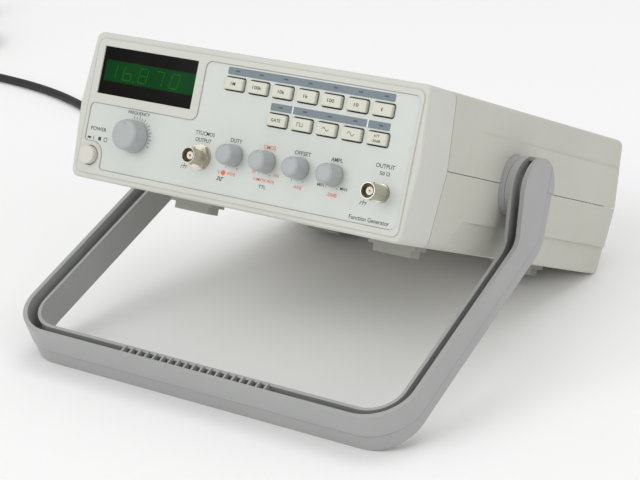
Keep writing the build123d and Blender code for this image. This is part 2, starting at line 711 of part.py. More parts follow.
def side_profile(front, rear_arm, rear_bar, hub_radius):
    """Side view of the handle: arm, dog-leg and round hub, as a slab across x."""
    hub_s, hub_h = case_to_handle(HUB_Y, HUB_Z)
    lead = math.radians(DOG_LEG_FRONT)
    trail = math.radians(DOG_LEG_REAR)
    front_s = hub_s - hub_radius * math.sin(lead)
    front_h = hub_h + hub_radius * math.cos(lead)
    rear_s = hub_s + hub_radius * math.sin(trail)
    rear_h = hub_h - hub_radius * math.cos(trail)
    knee_front_s = front_s - (front_h - front) / math.tan(lead)
    knee_rear_s = rear_s - (rear_h + rear_arm) / math.tan(trail)
    points = [(-40.0, front), (knee_front_s, front), (front_s, front_h), (hub_s, hub_h),
              (rear_s, rear_h), (knee_rear_s, -rear_arm), (BAR_TAPER_END, -rear_arm),
              (BAR_TAPER_START, -rear_bar), (-40.0, -rear_bar)]
    slab = prism_x(points, -200, 200)
    slab = round_corners(slab, Axis.X, [(points[1], KNEE_FRONT), (points[5], KNEE_REAR)])
    return slab + rod_x(hub_s, hub_h, hub_radius, -200, 200)


def handle():
    hub_s, hub_h = case_to_handle(HUB_Y, HUB_Z)
    inside = -CHANNEL_WIDTH - INNER_WALL
    solid = handle_ring(OUTER_WALL, inside) & side_profile(0.0, ARM_DEPTH, CROSSBAR_DEPTH,
                                                           HUB_RADIUS)
    solid -= handle_ring(OUTER_WALL + 5, OUTER_WALL - PARTING_INSET) & parting_zone()
    groove = side_profile(0.0, ARM_DEPTH - WEB, CROSSBAR_DEPTH - WEB, HUB_RADIUS - WEB)
    groove += open_side()
    solid -= handle_ring(0.0, -CHANNEL_WIDTH) & groove
    set_back = side_profile(-INNER_SET_BACK, ARM_DEPTH + 9, CROSSBAR_DEPTH + 9, HUB_RADIUS - 0.6)
    solid -= handle_ring(-CHANNEL_WIDTH, inside - 1) - set_back
    for side in (-1, 1):
        wall_x = CHANNEL_HALF - ARM_SPLAY * hub_s
        solid += rod_x(hub_s, hub_h, HUB_RADIUS - 0.6, side * HUB_FACE_X,
                       side * (wall_x - CHANNEL_WIDTH - 0.5))
        solid += rod_x(hub_s, hub_h, 10.0, side * (wall_x - CHANNEL_WIDTH - 1), side * (wall_x + 1))
        solid -= rod_x(hub_s, hub_h, JOURNAL_RADIUS + RUNNING_FIT, side * 120,
                       side * (wall_x - 1.0))
    pitch = 2 * GRIP_HALF / (GRIP_RIBS - 1)
    for index in range(GRIP_RIBS):
        x = -GRIP_HALF + index * pitch
        solid += block(x - RIB_THICK / 2, x + RIB_THICK / 2, -0.5, CHANNEL_WIDTH + 0.5,
                       -CROSSBAR_DEPTH + WEB - 0.5, -INNER_SET_BACK / 2)
    lift = Pos(0, CROSSBAR_Y, CROSSBAR_Z) * Rot(X=90 - ARM_LEAN)
    return lift * solid


def parting_zone():
    """The band along the handle's rear edge that is set in from the outer face."""
    hub_s, hub_h = case_to_handle(HUB_Y, HUB_Z)
    trail = math.radians(DOG_LEG_REAR)
    band = ARM_DEPTH - PARTING_DEPTH
    top_s = hub_s + (HUB_RADIUS - band) * math.sin(trail)
    top_h = hub_h - (HUB_RADIUS - band) * math.cos(trail)
    knee_s = top_s - (top_h + PARTING_DEPTH) / math.tan(trail)
    points = [(-40.0, -PARTING_DEPTH), (knee_s, -PARTING_DEPTH), (top_s, top_h),
              (top_s + 40 * math.sin(trail), top_h - 40 * math.cos(trail)), (-40.0, -80.0)]
    return prism_x(points, -200, 200)


def open_side():
    """The space in front of the channel's open side, up to the top of the hubs."""
    hub_s, hub_h = case_to_handle(HUB_Y, HUB_Z)
    turn = math.radians(HUB_OPEN)
    reach = 60.0
    points = [(hub_s, hub_h), (hub_s + reach * math.cos(turn), hub_h + reach * math.sin(turn)),
              (hub_s - 20, hub_h + reach), (-40, 30.0), (-40, -2.0), (166.0, -2.0)]
    return prism_x(points, -200, 200)


def hub(side):
    """Boss on the case side with the journal that the handle turns on."""
    wall_x = CHANNEL_HALF - ARM_SPLAY * case_to_handle(HUB_Y, HUB_Z)[0]
    boss = rod_x(HUB_Y, HUB_Z, HUB_RADIUS - 0.7, side * 116.0, side * (HUB_FACE_X - 0.3))
    return boss + rod_x(HUB_Y, HUB_Z, JOURNAL_RADIUS, side * 117.0, side * (wall_x - 1.4))


# ---------------------------------------------------------------- mains lead
def mains_connector():
    """Cord connector pushed into the inlet, with its tapered strain relief."""
    face = REAR_PANEL_FRONT + REAR_PANEL_THICK
    half_x = INLET_HALF_WIDTH - 0.4
    half_z = INLET_HALF_HEIGHT - 0.4
    nose = block(INLET_X - half_x, INLET_X + half_x, face - 15.5, face + 3.0,
                 INLET_Z - half_z, INLET_Z + half_z)
    grip = block(INLET_X - 13.5, INLET_X + 13.5, face + 2.8, CONNECTOR_BACK,
                 INLET_Z - 10.0, INLET_Z + 10.0)
    grip = fillet(grip.edges().filter_by(Axis.Y), 3.0)
    grip = chamfer(grip.faces().sort_by(Axis.Y)[-1].edges(), 2.5)
    relief = cone_y(INLET_X, INLET_Z, CORD_RADIUS + 0.9, 7.0, RELIEF_BACK, CONNECTOR_BACK - 1)
    solid = nose + grip + relief
    for x, z in pin_places():
        solid -= block(x - 1.4, x + 1.4, face - 17, face - 1.0, z - 2.4, z + 2.4)
    return solid


def cord_points():
    """The cord's corner points, from the strain relief to the coil."""
    start = placed(Pos(INLET_X, RELIEF_BACK, INLET_Z)).position
    ahead = placed(Pos(INLET_X, RELIEF_BACK + FIRST_RUN, INLET_Z)).position
    return [start, ahead] + [Vector(*point) for point in CORD_ROUTE]


def corner_radii(points):
    """The largest arcs that the runs on each side of a corner leave room for."""
    radii = []
    for before, corner, after in zip(points, points[1:], points[2:]):
        into = corner - before
        out_of = after - corner
        half_turn = math.radians(into.get_angle(out_of) / 2)
        radii.append(0.45 * min(into.length, out_of.length) / math.tan(half_turn))
    return radii


def mains_cord():
    points = cord_points()
    radii = corner_radii(points)
    path = FilletPolyline(*points, radius=radii)
    section = Plane(origin=points[0], z_dir=points[1] - points[0]) * Circle(CORD_RADIUS)
    tube = sweep(section, path=path)
    share = tube.volume / (math.pi * CORD_RADIUS ** 2 * path.length)
    print("cord radii", [round(radius) for radius in radii])
    print("cord length", round(path.length, 1), "volume share", round(share, 4))
    print("cord start", points[0], points[1])
    return tube


def coil_ring(inner_turn, outer_turn, z0, z1):
    x, y = COIL_CENTRE
    ring = rod_z(x, y, outer_turn + CORD_RADIUS + 0.3, z0, z1)
    return ring - rod_z(x, y, inner_turn - CORD_RADIUS - 0.3, z0 - 1, z1 + 1)


def mains_cord_coil():
    """Outer shape of the coiled cord, its last quarter turn climbing on top."""
    x, y = COIL_CENTRE
    low = 0.1
    top = low + COIL_LAYERS * LAYER_HEIGHT
    ring = coil_ring(COIL_INNER_TURN, COIL_OUTER_TURN, low, top)
    quarter = coil_ring(COIL_OUTER_TURN, COIL_OUTER_TURN, top - 0.1, top + LAYER_HEIGHT)
    return ring + (quarter & block(x - 60, x, y - 60, y, 0, 40))


def mains_plug():
    """Round two-pin plug lying beside the coil, its strain relief against the last turn."""
    x = COIL_CENTRE[0] - COIL_OUTER_TURN
    y = COIL_CENTRE[1] + 16.0
    z = PLUG_RADIUS + 0.1
    body_y = y + PLUG_RELIEF_LENGTH
    face_y = body_y + PLUG_BODY_LENGTH
    relief = cone_y(x, z, 8.0, CORD_RADIUS + 0.9, body_y + 1, y)
    body = rod_y(x, z, PLUG_RADIUS, body_y, face_y)
    body = fillet(body.faces().sort_by(Axis.Y)[0].edges(), 7.0)
    for side in (-1, 1):
        body -= block(x + side * 15.5, x + side * 19.0, body_y + 14, face_y + 1, 0, 40)
        pin = rod_y(x, z + side * PIN_SPACING / 2, PIN_RADIUS, face_y - 1, face_y + PIN_LENGTH)
        body += fillet(pin.faces().sort_by(Axis.Y)[-1].edges(), 1.2)
    body -= rod_y(x, z, 2.5, face_y - 15, face_y + 1)
    return relief + body


# ---------------------------------------------------------------- build the instrument
def build_instrument():
    nodes["front_bezel"] = front_bezel()
    nodes["front_panel"] = front_panel()
    nodes["display_window"] = display_window()
    nodes["display_module"] = display_module()
    nodes["upper_cover"] = upper_cover()
    nodes["lower_cover"] = lower_cover()
    nodes["rear_panel"] = rear_panel()
    for name, x, y in (("front_left", -FOOT_X, FOOT_FRONT_Y), ("front_right", FOOT_X, FOOT_FRONT_Y),
                       ("rear_left", -FOOT_X, FOOT_REAR_Y), ("rear_right", FOOT_X, FOOT_REAR_Y)):
        nodes[f"foot_{name}"] = foot(x, y)
    nodes["main_board"] = main_board()
    nodes["front_board"] = front_board()
    nodes["transformer"] = transformer()
    nodes["heat_sink"] = heat_sink()
    nodes["range_switch_bank"] = switch_bank(UPPER_ROW_COUNT, UPPER_ROW_Z)
    nodes["function_switch_bank"] = switch_bank(LOWER_ROW_COUNT, LOWER_ROW_Z)
    for name, x, z in button_places():
        nodes[name] = push_button(x, z)
    nodes["power_switch"] = power_switch()
    nodes["power_button"] = power_button()
    nodes["pot_bank"] = pot_bank()
    nodes["frequency_knob"] = knob(FREQUENCY_X, FREQUENCY_KNOB_RADIUS, FREQUENCY_KNOB_RADIUS - 1.0)
    nodes["frequency_spindle"] = spindle(FREQUENCY_X)
    for index, x in enumerate(pull_knob_places()):
        nodes[f"pull_knob_{index + 1}"] = knob(x, PULL_KNOB_RADIUS, PULL_KNOB_RADIUS - 0.8)
        nodes[f"pull_spindle_{index + 1}"] = spindle(x)
    for name, x, reach, hex_nut in (("sync", BNC_SYNC_X, 13.0, True), ("main", BNC_MAIN_X, 15.5, False)):
        nodes[f"bnc_{name}_shell"] = bnc_shell(x, BNC_Z, 0.0, -1, reach, hex_nut)
        nodes[f"bnc_{name}_insulator"] = bnc_core(x, BNC_Z, -reach, -1)
        nodes[f"bnc_{name}_contact"] = bnc_contact(x, BNC_Z, -reach, -1)
    rear_face = REAR_PANEL_FRONT + REAR_PANEL_THICK
    for index, x in enumerate(REAR_BNC_X):
        nodes[f"rear_bnc_{index + 1}"] = bnc_shell(x, REAR_BNC_Z, rear_face, 1, 13.0, True)
    nodes["rear_screws"] = rear_screws()
    nodes["power_inlet"] = power_inlet()
    nodes["fuse_drawer"] = fuse_drawer()
    nodes["handle"] = handle()
    nodes["hub_left"] = hub(-1)
    nodes["hub_right"] = hub(1)


def origin_shift():
    """Moves the tilted instrument so that the origin is under the middle of its box."""
    boxes = [(Rot(X=-TILT) * solid).bounding_box() for solid in nodes.values()]
    front = min(box.min.Y for box in boxes)
    back = max(box.max.Y for box in boxes)
    return Pos(0, -(front + back) / 2, -min(box.min.Z for box in boxes))


def placed(thing):
    return SHIFT * Rot(X=-TILT) * thing


build_instrument()
SHIFT = origin_shift()
nodes["mains_connector"] = mains_connector()
for name in nodes:
    nodes[name] = placed(nodes[name])
nodes["mains_cord"] = mains_cord()
nodes["mains_cord_coil"] = mains_cord_coil()
nodes["mains_plug"] = mains_plug()
print("shift", SHIFT.position, "tilt", TILT)
os.makedirs("parts", exist_ok=True)
for name, solid in nodes.items():
    export_step(solid, f"parts/{name}.step")
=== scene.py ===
import bmesh
import bpy
import json
import math
from mathutils import Matrix, Vector


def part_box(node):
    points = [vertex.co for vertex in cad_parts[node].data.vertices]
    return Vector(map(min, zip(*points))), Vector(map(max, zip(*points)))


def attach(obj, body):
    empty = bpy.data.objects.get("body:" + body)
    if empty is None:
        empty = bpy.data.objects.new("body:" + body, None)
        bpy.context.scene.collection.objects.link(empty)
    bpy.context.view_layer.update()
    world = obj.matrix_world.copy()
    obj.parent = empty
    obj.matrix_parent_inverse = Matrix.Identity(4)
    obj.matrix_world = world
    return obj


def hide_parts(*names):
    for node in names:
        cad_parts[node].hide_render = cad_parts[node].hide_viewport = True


# The looks of a bench function generator that stands tilted on its carrying handle.
# Places on the instrument are in millimetres in the case frame, as in the CAD source: x to
# the right, y from the front panel into the case, z up from the underside of the bezel.

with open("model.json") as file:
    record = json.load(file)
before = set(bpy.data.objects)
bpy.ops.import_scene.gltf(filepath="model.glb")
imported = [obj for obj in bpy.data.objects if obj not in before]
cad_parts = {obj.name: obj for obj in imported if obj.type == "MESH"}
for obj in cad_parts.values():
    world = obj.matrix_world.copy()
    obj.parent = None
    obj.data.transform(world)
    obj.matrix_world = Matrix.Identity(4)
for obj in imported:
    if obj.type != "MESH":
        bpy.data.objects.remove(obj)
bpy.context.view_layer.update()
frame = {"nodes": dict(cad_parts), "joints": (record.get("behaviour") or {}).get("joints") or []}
MM = 0.001

# ---- case frame, from the joints ----
HUB_DEPTH = 117.5
HUB_HEIGHT = 46.8
JOINTS = {joint["name"]: joint for joint in frame["joints"]}
ACROSS = Vector((1.0, 0.0, 0.0))
INWARD = Vector(JOINTS["power_button_press"]["axis"]).normalized()
UPWARD = ACROSS.cross(INWARD)
HUB = Vector(JOINTS["handle_swing"]["pos_m"])
CASE = Matrix((ACROSS, INWARD, UPWARD)).transposed().to_4x4()
CASE.translation = HUB - MM * (HUB_DEPTH * INWARD + HUB_HEIGHT * UPWARD)

# ---- front panel ----
PANEL_Y = 0.0
WINDOW_Y = -0.2
CAP_Y = -2.6                 # front of the push buttons
BEZEL_Y = -1.0
LIP_X = (-121.35, 119.65)    # just inside the edge of the bezel's raised lip
LIP_Z = (3.45, 89.15)
LIP_CORNER = 4.8
MARK_THICK = 0.06
MARK_SINK = 0.03            # how far a mark's back lies under the surface
MARK_LINE = 0.3              # width of the scale's ticks and the waves
LETTER_WEIGHT = 0.008        # how much the font's strokes are thickened, in its own units
CIRCLE_STEPS = 20
BUTTON_PITCH = 17.78
BUTTON_LAST_X = 94.1
RANGE_BUTTONS = 7
RANGE_ROW_Z = 74.2
FUNCTION_BUTTONS = 5
FUNCTION_ROW_Z = 57.1
HOLE_HALF_X = 7.45           # middle of the painted shade line round a push button
HOLE_HALF_Z = 4.35
HOLE_CORNER = 1.55
HOLE_LINE = 0.28
LIP_LINE = 0.22
BUTTON_BARS = ((-19.6, 100.4, 79.7, 84.3), (16.0, 100.5, 62.6, 67.1))     # x, x, z, z
BAR_CORNER = 0.8
BAR_GAPS_X = (31.9, 84.9)    # gaps in the lower bar, between its three groups
BAR_GAP = 0.9
RANGE_LAMPS_Z = 82.2
FUNCTION_LAMPS_Z = 65.0
LAMP_HALF_X = 1.5
LAMP_HALF_Z = 0.5
LAMP_CORNER = 0.3
LEGEND_HEIGHT = 2.1
LEGEND_PER_LETTER = 1.62     # width of a range legend, for each of its letters
LEGEND_LONE_ONE = 0.7        # width of the legend that is a single narrow figure
FREQUENCY_X = -80.5
KNOB_Z = 31.6
PULL_KNOBS_X = [-3.8, 20.4, 44.6, 68.8]
END_DOT_X = 4.1              # of the dots under a pull knob, from its middle
END_DOT_Z = -7.4
END_DOT_RADIUS = 0.32
SCALE_START = 105.0          # degrees, of the tuning knob's scale, which runs clockwise
SCALE_SWEEP = 129.0
SCALE_TICKS = 13
SCALE_INNER = 11.2
SCALE_LONG = 13.0            # outer radius of every second tick
SCALE_SHORT = 12.2
EARTH_SIGNS = ((-38.7, 19.7), (92.5, 19.4))
BAND_LOW = 62.9              # green filter band of the display
BAND_HIGH = 76.2
BAND_LEFT = -113.4
FIGURES = "16870"
FIRST_FIGURE_X = -107.6
FIGURE_PITCH = 12.4
FIGURE_Z = 69.4
FIGURE_HALF_WIDTH = 3.1
FIGURE_HALF_HEIGHT = 4.5
SEGMENT_HALF_THICK = 0.3
SEGMENT_INSET = 0.42         # from the corner of two segments to a segment's tip
FIGURE_SLANT = math.tan(math.radians(8.0))
POINT_X = -90.0
POINT_RADIUS = 0.5

# ---- carrying handle ----
ARM_LEAN = math.radians(45.24)
ARM_FOOT = (0.0, -8.65, -99.0)       # middle of the crossbar's open edge
LOOP_MIDDLE = (0.0, 71.0, -37.0)     # inside the loop, to tell outer faces from inner
PARTING_DEPTH = 15.8         # of the moulding line below the channel's open edge
PARTING_KNEE = 178.6         # how far up the arm that line turns up the dog-leg
DOG_LEG = math.radians(45.2)
PARTING_HALF_WIDTH = 0.2
PARTING_SHADE = 0.4          # painted shade on the moulding line, as a share of the handle's own colour

# ---- mains lead ----
CORD_DIAMETER = 0.007
INLET_X = -78.0
INLET_Z = 60.0
RELIEF_BACK = 330.0
FIRST_RUN = 25.0
CORD_ROUTE = [
    (-0.086, 0.254, 0.0086), (-0.106, 0.272, 0.0039), (-0.136, 0.281, 0.0036),
    (-0.176, 0.279, 0.0036), (-0.222, 0.265, 0.0036), (-0.270, 0.244, 0.0036),
    (-0.318, 0.226, 0.0036), (-0.366, 0.221, 0.0036), (-0.412, 0.230, 0.0036),
    (-0.456, 0.2485, 0.0036), (-0.502, 0.2605, 0.0036), (-0.554, 0.2665, 0.0036),
    (-0.609, 0.2686, 0.0036), (-0.665, 0.268, 0.0036)]
COIL_RADIUS = 0.049          # of the cord's middle in the outermost turn
COIL_CENTRE = Vector((-0.672, 0.268 + COIL_RADIUS, 0.0))
COIL_PITCH = 0.0072          # between turns and between layers
COIL_TURNS = 2.0417          # in each layer
COIL_CLIMB = 60.0            # degrees of turn that the step between layers takes
POINTS_PER_TURN = 24
PLUG_RISE = 90.0             # degrees of turn in which the cord rises to the plug
PLUG_RELIEF_Y = 0.016        # from the coil's centre to the plug's strain relief
PLUG_Z = 0.0181
PIN_LENGTH = 0.0192          # of the plug's contact pins

# ---- camera and light, in metres, degrees and watts ----
CAMERA_PLACE = (0.709996, -1.020467, 0.565378)
CAMERA_TURN = 35.444
CAMERA_DIP = 22.514
CAMERA_ROLL = 3.0125
SENSOR = 36.0                # in millimetres, as the lens is
LENS = 115.33
WORLD_STRENGTH = 0.62
LIGHTS = (                   # name, place, target, size, power
    ("key", (-1.2, -2.6, 2.2), (0.0, 0.0, 0.1), 2.4, 34.0),
    ("fill", (2.6, -1.0, 1.6), (0.0, 0.05, 0.1), 1.8, 9.0),
    ("top", (0.2, 0.8, 2.6), (0.0, 0.05, 0.1), 2.4, 16.0))
FLOOR_HALF = 12.0

collection = bpy.context.scene.collection


def in_case(x, y, z):
    return CASE @ (MM * Vector((x, y, z)))


# ---------------------------------------------------------------- camera, floor and light
def add_camera():
    """A long lens that looks down from the front right, rolled by a few degrees."""
    data = bpy.data.cameras.new("camera")
    data.sensor_width = SENSOR
    data.lens = LENS
    camera = bpy.data.objects.new("camera", data)
    turn = Matrix.Rotation(math.radians(CAMERA_TURN), 4, "Z")
    dip = Matrix.Rotation(math.radians(90.0 - CAMERA_DIP), 4, "X")
    roll = Matrix.Rotation(math.radians(-CAMERA_ROLL), 4, "Z")
    camera.matrix_world = Matrix.Translation(CAMERA_PLACE) @ turn @ dip @ roll
    collection.objects.link(camera)
    bpy.context.scene.camera = camera


def add_area_light(name, location, target, size, power):
    data = bpy.data.lights.new(name, "AREA")
    data.shape = "DISK"
    data.size = size
    data.energy = power
    light = bpy.data.objects.new(name, data)
    light.location = location
    aim = Vector(target) - Vector(location)
    light.rotation_euler = aim.to_track_quat("-Z", "Y").to_euler()
    collection.objects.link(light)


def add_world():
    """Even white light from all round."""
    world = bpy.data.worlds.new("studio")
    world.use_nodes = True
    background = world.node_tree.nodes["Background"]
    background.inputs["Color"].default_value = (1.0, 1.0, 1.0, 1.0)
    background.inputs["Strength"].default_value = WORLD_STRENGTH
    bpy.context.scene.world = world


def add_floor(material):
    mesh = bpy.data.meshes.new("floor")
    quarters = ((-1, -1), (1, -1), (1, 1), (-1, 1))
    corners = [(x * FLOOR_HALF, y * FLOOR_HALF, 0.0) for x, y in quarters]
    mesh.from_pydata(corners, [], [(0, 1, 2, 3)])
    mesh.materials.append(material)
    floor = bpy.data.objects.new("floor", mesh)
    collection.objects.link(floor)


# ---------------------------------------------------------------- materials
class Graph:
    """A material's node tree, with short ways to add what the finishes here need."""

    def __init__(self, name):
        self.material = bpy.data.materials.new(name)
        self.material.use_nodes = True
        self.tree = self.material.node_tree
        self.shader = self.tree.nodes["Principled BSDF"]
        coordinates = self.tree.nodes.new("ShaderNodeTexCoord")
        self.place = coordinates.outputs["Object"]
        self.facing = coordinates.outputs["Normal"]

    def add(self, kind, sources=(), **settings):
        """A node with its settings, whose inputs take links or plain values."""
        node = self.tree.nodes.new(kind)
        for key, value in settings.items():
            setattr(node, key, value)
        for socket, value in dict(sources).items():
            self.feed(node.inputs[socket], value)
        return node

    def feed(self, socket, value):
        if isinstance(value, bpy.types.NodeSocket):
            self.tree.links.new(value, socket)
        else:
            socket.default_value = value

    def shade(self, **values):
        """Feeds the surface shader, with spaces in a socket's name written as underscores."""
        for key, value in values.items():
            self.feed(self.shader.inputs[key.replace("_", " ")], value)

    def noise(self, size, detail):
        """Soft noise about size metres across. Nearly all of it lies from 0.3 to 0.7."""
        inputs = {"Vector": self.place, "Scale": 1.0 / size, "Detail": detail}
        return self.add("ShaderNodeTexNoise", inputs).outputs["Fac"]

    def blotches(self, size, detail, low=0.0, high=1.0):
        """Noise stretched to run from low to high."""
        return self.spread(self.noise(size, detail), 0.3, 0.7, low, high)

    def math(self, operation, first, second=0.0):
        node = self.add("ShaderNodeMath", operation=operation)
        self.feed(node.inputs[0], first)
        self.feed(node.inputs[1], second)
        return node.outputs[0]

    def spread(self, value, low, high, to_low, to_high):
        """Maps a number from one range to another."""
        inputs = {"Value": value, "From Min": low, "From Max": high,
                  "To Min": to_low, "To Max": to_high}
        return self.add("ShaderNodeMapRange", inputs).outputs["Result"]

    def blend(self, factor, first, second):
        """Mixes two colours."""
        node = self.add("ShaderNodeMix", data_type="RGBA")
        self.feed(node.inputs[0], factor)
        for socket, colour in ((node.inputs[6], first), (node.inputs[7], second)):
            plain = not isinstance(colour, bpy.types.NodeSocket)
            self.feed(socket, (*colour, 1.0) if plain else colour)
        return node.outputs[2]

    def bump(self, height, depth):
        """A surface pushed in and out by height times depth metres."""
        node = self.add("ShaderNodeBump", {"Height": height, "Distance": depth})
        return node.outputs["Normal"]

    def along(self, direction, point):
        """Distance in metres along a direction, from a point."""
        node = self.add("ShaderNodeVectorMath", operation="DOT_PRODUCT")
        self.feed(node.inputs[0], self.place)
        self.feed(node.inputs[1], direction)
        return self.math("SUBTRACT", node.outputs["Value"], direction.dot(point))

    def waves(self, direction, pitch):
        """Even ridges across a direction, one every pitch metres."""
        travel = self.along(direction, CASE.translation)
        return self.math("SINE", self.math("MULTIPLY", travel, 2 * math.pi / pitch))


def linear(red, green, blue):
    """A colour from its 0 to 255 screen values."""
    values = []
    for share in (red / 255, green / 255, blue / 255):
        values.append(share / 12.92 if share <= 0.04045 else ((share + 0.055) / 1.055) ** 2.4)
    return tuple(values)


def lighter(colour, factor):
    return tuple(min(1.0, part * factor) for part in colour)


def moulded_plastic(name, colour, roughness, grain, depth, mottle=0.03):
    """Injection-moulded plastic: faint flow blotches, a spark-eroded grain and uneven gloss."""
    graph = Graph(name)
    broad = graph.math("MULTIPLY", graph.noise(0.06, 3.0), 0.7)
    fine = graph.math("MULTIPLY", graph.noise(0.0022, 2.0), 0.3)
    tone = graph.spread(graph.math("ADD", broad, fine), 0.3, 0.7, 0.0, 1.0)
    tint = graph.blend(tone, lighter(colour, 1.0 - mottle), lighter(colour, 1.0 + mottle))
    grain_height = graph.noise(grain, 2.0)
    gloss = graph.blotches(0.018, 2.0, roughness - 0.04, roughness + 0.05)
    graph.shade(Base_Color=tint, Roughness=gloss, Normal=graph.bump(grain_height, depth))
    return graph.material


def handle_plastic(name, colour):
    """Moulded plastic with painted shade along the moulding line on the handle's outer faces,
    for the shade of its small step.
    """
    graph = Graph(name)
    up_arm = math.sin(ARM_LEAN) * INWARD + math.cos(ARM_LEAN) * UPWARD
    to_rim = math.sin(ARM_LEAN) * UPWARD - math.cos(ARM_LEAN) * INWARD
    foot = in_case(*ARM_FOOT) - MM * PARTING_DEPTH * to_rim
    knee = foot + MM * PARTING_KNEE * up_arm
    over_arm = graph.along(to_rim, foot)
    over_dog_leg = graph.along(math.cos(DOG_LEG) * to_rim - math.sin(DOG_LEG) * up_arm, knee)
    away = graph.math("ABSOLUTE", graph.math("MINIMUM", over_arm, over_dog_leg))
    painted_shade_line = graph.math("LESS_THAN", away, PARTING_HALF_WIDTH * MM)
    reach = graph.add("ShaderNodeVectorMath", operation="SUBTRACT")
    graph.feed(reach.inputs[0], graph.place)
    graph.feed(reach.inputs[1], in_case(*LOOP_MIDDLE))
    facing = graph.add("ShaderNodeVectorMath", operation="DOT_PRODUCT")
    graph.feed(facing.inputs[0], graph.facing)
    graph.feed(facing.inputs[1], reach.outputs["Vector"])
    outside = graph.math("GREATER_THAN", facing.outputs["Value"], 0.0)
    tone = graph.blotches(0.06, 3.0)
    tint = graph.blend(tone, lighter(colour, 0.97), lighter(colour, 1.03))
    parting_shade_colour = lighter(colour, PARTING_SHADE)
    # painted shade along the moulding line, on the outer faces only
    tint = graph.blend(graph.math("MULTIPLY", painted_shade_line, outside), tint, parting_shade_colour)
    gloss = graph.blotches(0.018, 2.0, 0.38, 0.47)
    graph.shade(Base_Color=tint, Roughness=gloss,
                Normal=graph.bump(graph.noise(0.0007, 2.0), 0.000015))
    return graph.material


def printed_panel(name, colour):
    """Front overlay: fine matt film with a clear top layer."""
    graph = Graph(name)
    cloud = graph.blotches(0.09, 2.0)
    tint = graph.blend(cloud, lighter(colour, 0.985), lighter(colour, 1.015))
    fibre = graph.noise(0.0004, 1.0)
    gloss = graph.blotches(0.03, 2.0, 0.36, 0.44)
    graph.shade(Base_Color=tint, Roughness=gloss, Normal=graph.bump(fibre, 0.000006),
                Coat_Weight=0.25, Coat_Roughness=0.22)
    return graph.material


def display_filter(name):
    """Smoked window with a green filter band across its middle."""
    graph = Graph(name)
    height = graph.along(UPWARD, CASE.translation)
    edge = 0.00035    # half the width of the band's soft edges
    above_low = graph.spread(height, BAND_LOW * MM - edge, BAND_LOW * MM + edge, 0.0, 1.0)
    below_high = graph.spread(height, BAND_HIGH * MM - edge, BAND_HIGH * MM + edge, 1.0, 0.0)
    band = graph.math("MULTIPLY", above_low, below_high)
    across = graph.along(ACROSS, CASE.translation)
    past_left = graph.spread(across, BAND_LEFT * MM - edge, BAND_LEFT * MM + edge, 0.0, 1.0)
    band = graph.math("MULTIPLY", band, past_left)
    haze = graph.blotches(0.02, 2.0)
    green = graph.blend(haze, linear(4, 58, 20), linear(9, 66, 26))
    smoke = graph.blend(haze, linear(13, 13, 9), linear(18, 17, 13))
    graph.shade(Base_Color=graph.blend(band, smoke, green),
                Roughness=graph.blotches(0.012, 2.0, 0.10, 0.16),
                Specular_IOR_Level=0.08)
    return graph.material


def glowing_segment(name):
    """Dim light-emitting segment, as it looks through the filter."""
    graph = Graph(name)
    core = graph.blotches(0.0015, 1.0)
    tint = graph.blend(core, linear(20, 84, 10), linear(32, 100, 16))
    graph.shade(Base_Color=tint, Roughness=0.6, Specular_IOR_Level=0.1,
                Emission_Color=tint, Emission_Strength=0.12)
    return graph.material


def ink_and_painted_shade(name, colour):
    """Screen-printed ink with a slightly broken film, also used for the painted shade lines."""
    graph = Graph(name)
    wear = graph.spread(graph.noise(0.0007, 3.0), 0.35, 0.65, 0.0, 1.0)
    tint = graph.blend(wear, lighter(colour, 0.9), lighter(colour, 1.12))
    graph.shade(Base_Color=tint, Roughness=graph.spread(wear, 0.0, 1.0, 0.42, 0.55))
    return graph.material


def turned_metal(name, colour, roughness):
    """Plated, lathe-turned metal, with rings along the panel's axis."""
    graph = Graph(name)
    rings = graph.waves(INWARD, 0.00022)
    stain = graph.blotches(0.006, 2.0)
    tint = graph.blend(stain, lighter(colour, 0.95), lighter(colour, 1.03))
    gloss = graph.blotches(0.003, 2.0, roughness - 0.03, roughness + 0.05)
    graph.shade(Base_Color=tint, Metallic=1.0, Roughness=gloss,
                Normal=graph.bump(rings, 0.0000015))
    return graph.material


def sheet_metal(name, colour, metallic, roughness):
    """Painted or plated sheet with a fine orange-peel surface."""
    graph = Graph(name)
    peel = graph.noise(0.0012, 2.0)
    stain = graph.blotches(0.03, 3.0)
    tint = graph.blend(stain, lighter(colour, 0.95), lighter(colour, 1.04))
    gloss = graph.blotches(0.01, 2.0, roughness - 0.05, roughness + 0.06)
    graph.shade(Base_Color=tint, Metallic=metallic, Roughness=gloss,
                Normal=graph.bump(peel, 0.00003))
    return graph.material


def flexible_jacket(name, colour):
    """Soft cord jacket with a dull skin and light scuffs."""
    graph = Graph(name)
    scuff = graph.spread(graph.noise(0.007, 4.0), 0.4, 0.7, 0.0, 1.0)
    tint = graph.blend(scuff, colour, lighter(colour, 1.7))
    skin = graph.noise(0.0006, 2.0)
    gloss = graph.blotches(0.01, 2.0, 0.42, 0.58)
    graph.shade(Base_Color=tint, Roughness=gloss, Normal=graph.bump(skin, 0.00002))
    return graph.material


def pinned_plug(name, plastic, metal):
    """Moulded plug whose contact pins, past its face, are bright metal."""
    graph = Graph(name)
    low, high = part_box("mains_plug")
    face = Vector((low.x, high.y - PIN_LENGTH, low.z))
    pin = graph.spread(graph.along(Vector((0.0, 1.0, 0.0)), face), -0.0001, 0.0001, 0.0, 1.0)
    mottle = graph.blotches(0.01, 3.0)
    dull = graph.blend(mottle, plastic, lighter(plastic, 1.6))
    bright = graph.blend(mottle, lighter(metal, 0.9), metal)
    graph.shade(Base_Color=graph.blend(pin, dull, bright), Metallic=pin,
                Roughness=graph.spread(pin, 0.0, 1.0, 0.5, 0.22),
                Normal=graph.bump(graph.noise(0.0008, 2.0), 0.00002))
    return graph.material


